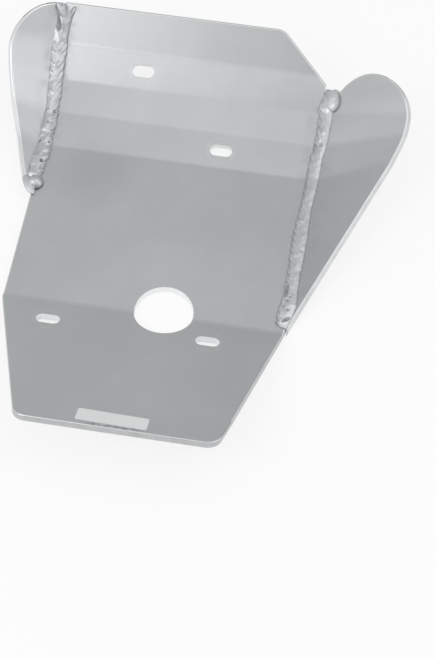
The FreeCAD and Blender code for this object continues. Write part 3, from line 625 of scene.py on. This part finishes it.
# %% Rims and ripples
def puddle_rims(start, end, pitch, rng):
    """Where the rear rim of each puddle froze, and how proud it stands."""
    rims, place = [], start - 8
    while place < end + 8:
        rims.append((place, rng.uniform(0.5, 1.0)))
        place += pitch * rng.uniform(0.7, 1.35)
    return rims


def ripple(rims, place):
    """A quick rise at each rim and a slow fall to the next one, from 0 to 1."""
    after = min(max(bisect.bisect_right(rims, (place, 2.0)), 1), len(rims) - 1)
    (first, proud), (last, _) = rims[after - 1], rims[after]
    part = min(1.0, max(0.0, (place - first) / (last - first)))
    slope = min(part / 0.2, (1 - part) / 0.8)
    return proud * (slope * slope * (3 - 2 * slope)) ** 1.4


# %% [markdown]
# One row of points is the bead's section. It runs from the toe on the plate over the crown to
# the toe on the wing, then back through the sheet, where nobody sees it. The section is steep at
# the plate's toe and soft at the wing's, and a noise makes the rims wander.


# %% One section of a bead
def bead_row(side, distance, fill, reach, rims, look):
    """One row of points: look holds the crown, the chevron, the ridges and the scallop."""
    place, forward, across, out = corner_frame(side, distance)
    on_plate, on_wing = reach_at(reach, distance)
    middle, half = (on_wing - on_plate) / 2, (on_wing + on_plate) / 2
    (low, near), (high, far) = look["chevron"]
    chevron = near + (far - near) * min(1.0, max(0.0, (distance - low) / (high - low)))
    calm = min(1.0, max(0.0, (look["calm_from"] + 6 - distance) / 6))
    wing_ridge = look["ridges"][2] * (0.25 + 0.75 * min(1.0, max(0.0, (distance - 118) / 20)))
    row = []
    for step in range(-14, 15):
        u = step / 14
        wander = noise.noise(Vector((distance * 0.22, u * 1.2, side * 7.0)))
        bent = chevron * abs(u) ** look["bend"] - look["stagger"] * u - wander * 2.2
        swell = ripple(rims, distance - bent) * calm
        swing = middle + u * half + (u * abs(u) * look["scallop"] * swell if u < 0 else 0.0)
        toes = 0.3 * (abs(on_plate) * (1 - u) + on_wing * (1 + u)) / 2
        bulge = (1 - abs(u) ** 2.4) ** 0.7 if u < 0 else (1 - u * u) ** 1.25
        side_ridge = look["ridges"][0] if u < 0 else wing_ridge
        ridge = look["ridges"][1] + (side_ridge - look["ridges"][1]) * abs(u) ** 1.2
        lift = toes + look["crown"] * bulge * (1 + look["lumps"] * wander)
        lift += ridge * swell * (1 - abs(u) ** 9)
        row.append(place + across * swing * fill * math.cos(HALF_FLARE) + out * lift * fill)
    row.append(place + across * on_wing * 0.8 * fill + out * 0.2)
    row.append(place - out * 0.9)
    row.append(place - across * on_plate * 0.8 * fill + out * 0.2)
    return row


# %% [markdown]
# The first section is drawn as a ring of edges. It is extruded to the next section, every
# 0.4 mm, and both ends are capped. A square root closes the ends like the end of a finger.

# %% Sweep a bead
ROW_STEP, ROUND_END = 0.4, 3.5


def extrude_ring(bm, ring, edges):
    """Extrude a ring of edges, and give the new ring in the order of the old one."""
    made = bmesh.ops.extrude_edge_only(bm, edges=edges)["geom"]
    fresh = {part for part in made if isinstance(part, bmesh.types.BMVert)}
    ring = [next(e.other_vert(v) for e in v.link_edges if e.other_vert(v) in fresh) for v in ring]
    return ring, [part for part in made if isinstance(part, bmesh.types.BMEdge)
                  and part.verts[0] in fresh and part.verts[1] in fresh]


def sweep_bead(bm, side, start, end, reach, rims, look):
    count = round((end - start) / ROW_STEP)
    ring = []
    for i in range(count + 1):
        distance = start + (end - start) * i / count
        part = min(1.0, (distance - start + 0.3) / ROUND_END, (end - distance + 0.3) / ROUND_END)
        points = bead_row(side, distance, math.sqrt(part * (2 - part)), reach, rims, look)
        if ring:
            ring, edges = extrude_ring(bm, ring, edges)
            for v, point in zip(ring, points):
                v.co = point * MM
        else:
            ring = [bm.verts.new(point * MM) for point in points]
            edges = [bm.edges.new((ring[k - 1], ring[k])) for k in range(len(ring))]
            bm.faces.new(ring)
    bm.faces.new(ring)


# %% [markdown]
# Frozen weld metal is bright where it swelled up. Its valleys, its dents and its toes are
# painted dark: partly soot, and partly painted shade where light doesn't reach into them. That
# paint goes on the points of the mesh, in the cell after this one, under the name soot, and the
# material reads it by that name.


# %% Weld metal
def weld_metal():
    material, g = new_material("weld_metal")
    place = g.node("ShaderNodeTexCoord", output=3)
    # The attribute named soot holds soot and painted shade in the valleys, dents and toes.
    painted = g.node("ShaderNodeAttribute", {"attribute_name": "soot"}, output=2)
    grains = g.noise(place, 900.0, 3.0, 0.6)
    stain = g.noise(place, 170.0, 4.0, 0.6)
    dirt_and_shade = (painted + g.soft_step(stain, 0.52, 0.8) * 0.35).least(1.0)
    colour = g.mix(dirt_and_shade, grey(0.64), grey(0.15, 0.3))
    bump = g.node("ShaderNodeBump", {}, {"Strength": 0.4, "Distance": 0.00005, "Height": grains})
    finish_material(g, {"Base Color": colour, "Metallic": 1.0, "Roughness": 0.46 + dirt_and_shade * 0.2,
                        "Normal": bump})
    return material


bead_metal = weld_metal()
print(bead_metal.name, len(bead_metal.node_tree.nodes), "nodes")


# %% [markdown]
# Gas leaves pits in a weld, and the torch leaves gouges. A dent pushes the skin in by an oval
# bowl. Dark paint goes where a point lies lower than its neighbours, into the dents, and along
# the toe, where the bead is less than a millimetre from the sheet: partly soot, and partly
# painted shade in those hollows and corners. A search tree of the sheet's faces measures that
# distance.


# %% Dents and the paint of soot
def surface_of(node):
    """A search tree of a solid's faces, which finds the face nearest to a point."""
    bm = bmesh.new()
    bm.from_mesh(frame["nodes"][node].data)
    tree = BVHTree.FromBMesh(bm)
    bm.free()
    return tree


PLATE_TREE, RIGHT_TREE = surface_of("main_plate"), surface_of("right_wing")
TOE_SHADE_REACH = 0.8 * MM
print("1 mm over the plate the tree finds", PLATE_TREE.find_nearest(on_sheet(0, 50, 1.0))[3])


def dent(side, distance, swing, long, wide, angle, depth, dark):
    """An oval dent: its place, its size, its turn from the bead's direction, depth, and its dark
    paint of soot and painted shade.
    """
    place, forward, across, out = corner_frame(side, distance)
    centre = place + across * swing + out * 2.0
    return (centre, forward * math.cos(angle) + across * math.sin(angle),
            across * math.cos(angle) - forward * math.sin(angle), out, long, wide, depth, dark)


def paint_and_dent(bm, dents, toes):
    """Paint soot and painted shade on every point, then move it by a fine noise and by the dents that
    it is in.
    """
    soot = bm.verts.layers.float.new("soot")
    moves = []
    for v in bm.verts:
        around = sum((e.other_vert(v).co for e in v.link_edges), Vector()) / len(v.link_edges)
        # Points lower than their neighbours get dark paint: soot and painted shade in the valleys.
        valley = (around - v.co).dot(v.normal) / (0.035 * MM)
        v[soot] = min(0.75, max(0.0, 0.45 * valley - 0.12))
        # Along the toe the dark paint is painted shade where the bead meets the sheet.
        for tree, dark in toes:
            v[soot] = max(v[soot], dark * (1 - tree.find_nearest(v.co)[3] / TOE_SHADE_REACH))
        move = v.normal * (noise.noise(v.co * 300) * 0.14 + noise.noise(v.co * 1000) * 0.04)
        # Each dent pushes the skin in and lays its dark paint: soot and painted shade.
        for centre, lengthways, sideways, out, long, wide, depth, dark in dents:
            away = v.co / MM - centre
            near = 1 - (away.dot(lengthways) / long) ** 2 - (away.dot(sideways) / wide) ** 2
            if near > 0 and abs(away.dot(out)) < 4:
                move -= out * depth * near
                v[soot] = max(v[soot], dark * min(1.0, near * 1.6))
        moves.append(move * MM)
    for v, move in zip(bm.verts, moves):
        v.co += move


# %% [markdown]
# The swept bead and its lobes still pass through each other. A voxel remesh fuses them into one
# closed skin, and one round of smoothing takes the voxels' steps away. Its result is kept as the
# mesh, because the paint of soot and painted shade goes on its points.


# %% Fuse a bead
def fuse_bead(bm, name, node, dents, toes):
    bmesh.ops.recalc_face_normals(bm, faces=bm.faces)
    mesh = bpy.data.meshes.new(name)
    bm.to_mesh(mesh)
    bm.free()
    piece = bpy.data.objects.new(name, mesh)
    bpy.context.scene.collection.objects.link(piece)
    fuse = piece.modifiers.new("fuse", "REMESH")
    fuse.mode, fuse.voxel_size = "VOXEL", 0.26 * MM
    depsgraph = bpy.context.evaluated_depsgraph_get()
    fused = bpy.data.meshes.new_from_object(piece.evaluated_get(depsgraph))
    piece.modifiers.clear()
    piece.data = fused
    bm = bmesh.new()
    bm.from_mesh(fused)
    bmesh.ops.smooth_vert(bm, verts=bm.verts, factor=0.5, use_axis_x=True, use_axis_y=True,
                          use_axis_z=True)
    bm.normal_update()
    paint_and_dent(bm, dents, toes)
    for face in bm.faces:
        face.smooth = True
    bm.to_mesh(fused)
    bm.free()
    fused.name = name
    fused.materials.clear()
    fused.materials.append(bead_metal)
    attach(piece, "root")
    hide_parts(node)
    print(name, len(fused.polygons), "faces,", len(dents), "dents")


# %% [markdown]
# The left bead is the livelier one. Its chevrons grow steeper towards the front, it starts in a
# round knob with a tongue beside it, and it ends in a fork: two thin lobes with a deep notch
# between them. The look holds the crown's height, the chevron at two places, and the ridges'
# height at the plate's toe, in the middle and at the wing's toe.

# %% Lay the left bead
LEFT_LOOK = {"crown": 2.0, "chevron": ((108, 2.2), (138, 7.5)), "bend": 1.15, "lumps": 0.35,
             "stagger": 1.6, "ridges": (1.9, 0.25, 1.5), "scallop": 1.0, "calm_from": 164}
bm = bmesh.new()
rims = puddle_rims(78, 184, 5.0, random.Random(11))
sweep_bead(bm, -1, 78, 191, LEFT_REACH, rims, LEFT_LOOK)
lobe(bm, -1, 76.5, -0.9, (4.0, 4.2, 3.3), 0.1, lift=1.9)
lobe(bm, -1, 74.2, 2.4, (7.0, 3.0, 1.7), 0.0, yaw=0.58, lift=0.9)
lobe(bm, -1, 186.6, 2.8, (5.4, 1.5, 1.5), 0.0, yaw=0.50, lift=2.3)
lobe(bm, -1, 186.2, -4.2, (4.4, 1.1, 1.3), 0.0, yaw=-0.42, lift=1.7)
print("left bead:", len(rims), "rims")
# Each dent's last number is its dark paint: soot and painted shade in pits, painted shade in the long
# crevice by the wing.
fuse_bead(bm, "left_rope_weld", "left_weld_bead", [
    dent(-1, 192.4, -2.0, 8.2, 2.9, 0.0, 4.4, 0.0), dent(-1, 180.0, 3.9, 6.4, 2.2, 0.29, 0.9, 0.6),
    dent(-1, 125.5, -1.5, 1.2, 1.1, 0, 0.5, 0.5), dent(-1, 118.6, 1.1, 1.2, 1.0, 0, 0.5, 0.4),
    dent(-1, 105.8, 3.1, 1.5, 0.9, 0, 0.5, 0.5), dent(-1, 105.8, -2.5, 1.3, 1.1, 0, 0.5, 0.5),
    dent(-1, 91.2, -0.8, 1.4, 1.3, 0, 0.8, 0.75), dent(-1, 84.5, 5.2, 3.2, 0.9, 0, 0.6, 0.8)],
          [(PLATE_TREE, 0.75)])

# %% [markdown]
# The right bead is calmer: its ridges stand up at the plate's toe alone and fade towards the
# wing. It climbs onto the wing in front, where it ends in one thick lobe, and pits gather near
# its rear end.

# %% Lay the right bead
RIGHT_LOOK = {"crown": 1.7, "chevron": ((40, 6.0), (120, 6.5)), "bend": 1.3, "lumps": 0.15,
              "stagger": 0.8, "ridges": (1.5, 0.12, 0.05), "scallop": 1.0, "calm_from": 155}
bm = bmesh.new()
rims = puddle_rims(3, 160, 4.8, random.Random(29))
sweep_bead(bm, 1, 3, 161, RIGHT_REACH, rims, RIGHT_LOOK)
lobe(bm, 1, 154.6, 6.8, (6.8, 4.7, 2.1), 0.1, lift=2.1)
print("right bead:", len(rims), "rims")
# Each dent's last number is its dark paint of soot and painted shade; both toes get painted shade.
fuse_bead(bm, "right_rope_weld", "right_weld_bead", [
    dent(1, 20.2, -1.4, 1.1, 1.0, 0, 0.5, 0.5), dent(1, 22.5, 0.0, 0.9, 0.8, 0, 0.5, 0.45),
    dent(1, 16.5, -3.1, 1.1, 1.0, 0, 0.4, 0.35), dent(1, 14.0, -0.3, 1.3, 1.2, 0, 0.4, 0.35),
    dent(1, 7.9, -0.6, 3.1, 1.1, 0.9, 0.7, 0.5), dent(1, 26.5, -2.7, 5.4, 1.5, 0, 0.5, 0.4),
    dent(1, 127.5, 3.0, 2.2, 1.8, 0, 0.4, 0.15)], [(PLATE_TREE, 0.6), (RIGHT_TREE, 0.6)])

# %% [markdown]
# A small foil label was stuck on the rear lip. It stays blank here. Foil is smoother than the
# rolled sheet and a little creased, so it is only slightly metallic, with a soft noise for the
# creases in its colour and its bump.


# %% Label foil
def foil():
    material, g = new_material("label_foil")
    place = g.node("ShaderNodeTexCoord", output=3)
    creases = g.noise(place, 220.0, 2.0)
    colour = g.mix(creases, (0.745, 0.76, 0.765, 1), (0.70, 0.715, 0.72, 1))
    bump = g.node("ShaderNodeBump", {}, {"Strength": 0.2, "Distance": 0.00005, "Height": creases})
    finish_material(g, {"Base Color": colour, "Metallic": 0.15, "Roughness": 0.35, "Normal": bump})
    return material


label_foil = foil()
print(label_foil.name, len(label_foil.node_tree.nodes), "nodes")

# %% [markdown]
# A label is thinner than paper. A grid of one face is scaled to its size, its corners are
# rounded by a bevel of the points, and an extrusion gives it a tenth of a millimetre. A matrix
# then lays it on the lip, turned by a degree or so, as a hand sticks a label.

# %% The blank label
LABEL_LONG, LABEL_WIDE, LABEL_THICK, LABEL_CORNER = 37.4, 9.2, 0.12, 1.2
bm = bmesh.new()
bmesh.ops.create_grid(bm, x_segments=1, y_segments=1, size=0.5)
bmesh.ops.scale(bm, vec=Vector((LABEL_LONG, LABEL_WIDE, 1)) * MM, verts=bm.verts)
bmesh.ops.bevel(bm, geom=bm.verts, offset=LABEL_CORNER * MM, offset_type="OFFSET", segments=4,
                profile=0.5, affect="VERTICES", material=-1)
solid = bmesh.ops.extrude_face_region(bm, geom=bm.faces)
lifted = [v for v in solid["geom"] if isinstance(v, bmesh.types.BMVert)]
bmesh.ops.translate(bm, verts=lifted, vec=(0, 0, LABEL_THICK * MM))
bmesh.ops.recalc_face_normals(bm, faces=bm.faces)
laid = (Matrix.Translation(on_sheet(0.4, -87.3)) @ Matrix.Rotation(-LIP_TURN, 4, "X")
        @ Matrix.Rotation(math.radians(-1.3), 4, "Z"))
bmesh.ops.transform(bm, verts=bm.verts, matrix=laid)
mesh = bpy.data.meshes.new("blank_label")
bm.to_mesh(mesh)
bm.free()
label = bpy.data.objects.new("blank_label", mesh)
bpy.context.scene.collection.objects.link(label)
mesh.materials.append(label_foil)
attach(label, "root")
print("label at", laid.translation, len(mesh.polygons), "faces")

# %% [markdown]
# The plate lies on a white studio floor. The floor is an ordinary pale surface, so it catches
# a soft shadow. For camera rays, and for what metal mirrors of it, a share of plain white is
# mixed in, so that it reads as white without more light on the plate.


# %% Floor
WHITE_SHARE, FLOOR_DROP = 0.8, 0.2 * MM


def white_floor():
    material, g = new_material("studio_floor")
    path = g.tree.nodes.new("ShaderNodeLightPath")
    seen = Value(g, path.outputs["Is Camera Ray"]) + Value(g, path.outputs["Is Glossy Ray"])
    seen = (seen + Value(g, path.outputs["Is Transmission Ray"])).least(1.0)
    plain = g.node("ShaderNodeBsdfDiffuse", {}, {"Color": (0.9, 0.9, 0.9, 1)})
    white = g.node("ShaderNodeEmission", {}, {"Color": (1, 1, 1, 1), "Strength": 1.0})
    both = g.node("ShaderNodeMixShader", {}, {0: seen * WHITE_SHARE, 1: plain, 2: white})
    g.node("ShaderNodeOutputMaterial", {}, {"Surface": both})
    return material


bm = bmesh.new()
bmesh.ops.create_grid(bm, x_segments=1, y_segments=1, size=6.0)
mesh = bpy.data.meshes.new("floor")
bm.to_mesh(mesh)
bm.free()
floor = bpy.data.objects.new("floor", mesh)
floor.location = (0, 0, -FLOOR_DROP)
bpy.context.scene.collection.objects.link(floor)
mesh.materials.append(white_floor())
print("floor at", floor.location[2])

# %% [markdown]
# Bare metal shows its surroundings more than its own colour. A dim world gives the sheet
# something even to reflect, and soft round lamps shape it: the key lamp brightens the bands
# that turn up towards the camera, and weaker ones above and at the sides lift the wings. A
# lamp's power goes with its area, so it is worked out from how bright its disk looks.

# %% World and lamps
world = bpy.data.worlds.new("studio")
bpy.context.scene.world = world
world.use_nodes = True
g = Graph(world.node_tree)
sky = g.node("ShaderNodeBackground", {}, {"Color": (1, 1, 1, 1), "Strength": 0.66})
g.node("ShaderNodeOutputWorld", {}, {"Surface": sky})


def soft_lamp(name, way, away, width, radiance):
    """A round soft lamp in this direction, so many metres away, aimed at the plate."""
    lamp = bpy.data.lights.new(name, "AREA")
    lamp.shape, lamp.size = "DISK", width
    lamp.energy = radiance * math.pi * math.pi * (width / 2) ** 2
    made = bpy.data.objects.new(name, lamp)
    way = Vector(way).normalized()
    made.location = way * away + Vector((0, 0.02, 0.02))
    made.rotation_euler = (-way).to_track_quat("-Z", "Y").to_euler()
    bpy.context.scene.collection.objects.link(made)
    print(name, round(lamp.energy, 2), "W")


soft_lamp("key_lamp", (-0.50, -0.50, 0.70), 1.2, 0.6, 3.24)
soft_lamp("right_lamp", (0.90, -0.10, 0.42), 1.6, 1.2, 0.76)
soft_lamp("top_lamp", (0.0, 0.05, 1.0), 1.7, 1.2, 0.32)
soft_lamp("top_right_lamp", (0.50, 0.10, 0.90), 1.6, 1.0, 1.08)
soft_lamp("left_lamp", (-0.95, -0.10, 0.30), 1.6, 1.2, 0.27)

# %% [markdown]
# The camera stands behind the plate and above it, a little to the right, as far as a
# photographer at a bench: about a metre. Its place and turn were worked out from the bends,
# the drain hole and the slots.

# %% Camera
FOCAL_PIXELS, PICTURE_HEIGHT, SENSOR = 1705.87, 659, 36.0
lens = bpy.data.cameras.new("camera")
lens.sensor_fit, lens.sensor_width = "AUTO", SENSOR
lens.lens = FOCAL_PIXELS * SENSOR / PICTURE_HEIGHT
lens.clip_start, lens.clip_end = 0.05, 50.0
camera = bpy.data.objects.new("camera", lens)
camera.location = (0.11961, -0.53222, 0.80109)
camera.rotation_euler = Euler([math.radians(a) for a in (31.2018, -0.0888, 9.4206)])
bpy.context.scene.collection.objects.link(camera)
bpy.context.scene.camera = camera
bpy.context.scene.view_settings.view_transform = "Standard"
print("lens of", round(lens.lens, 2), "mm")

# %% [markdown]
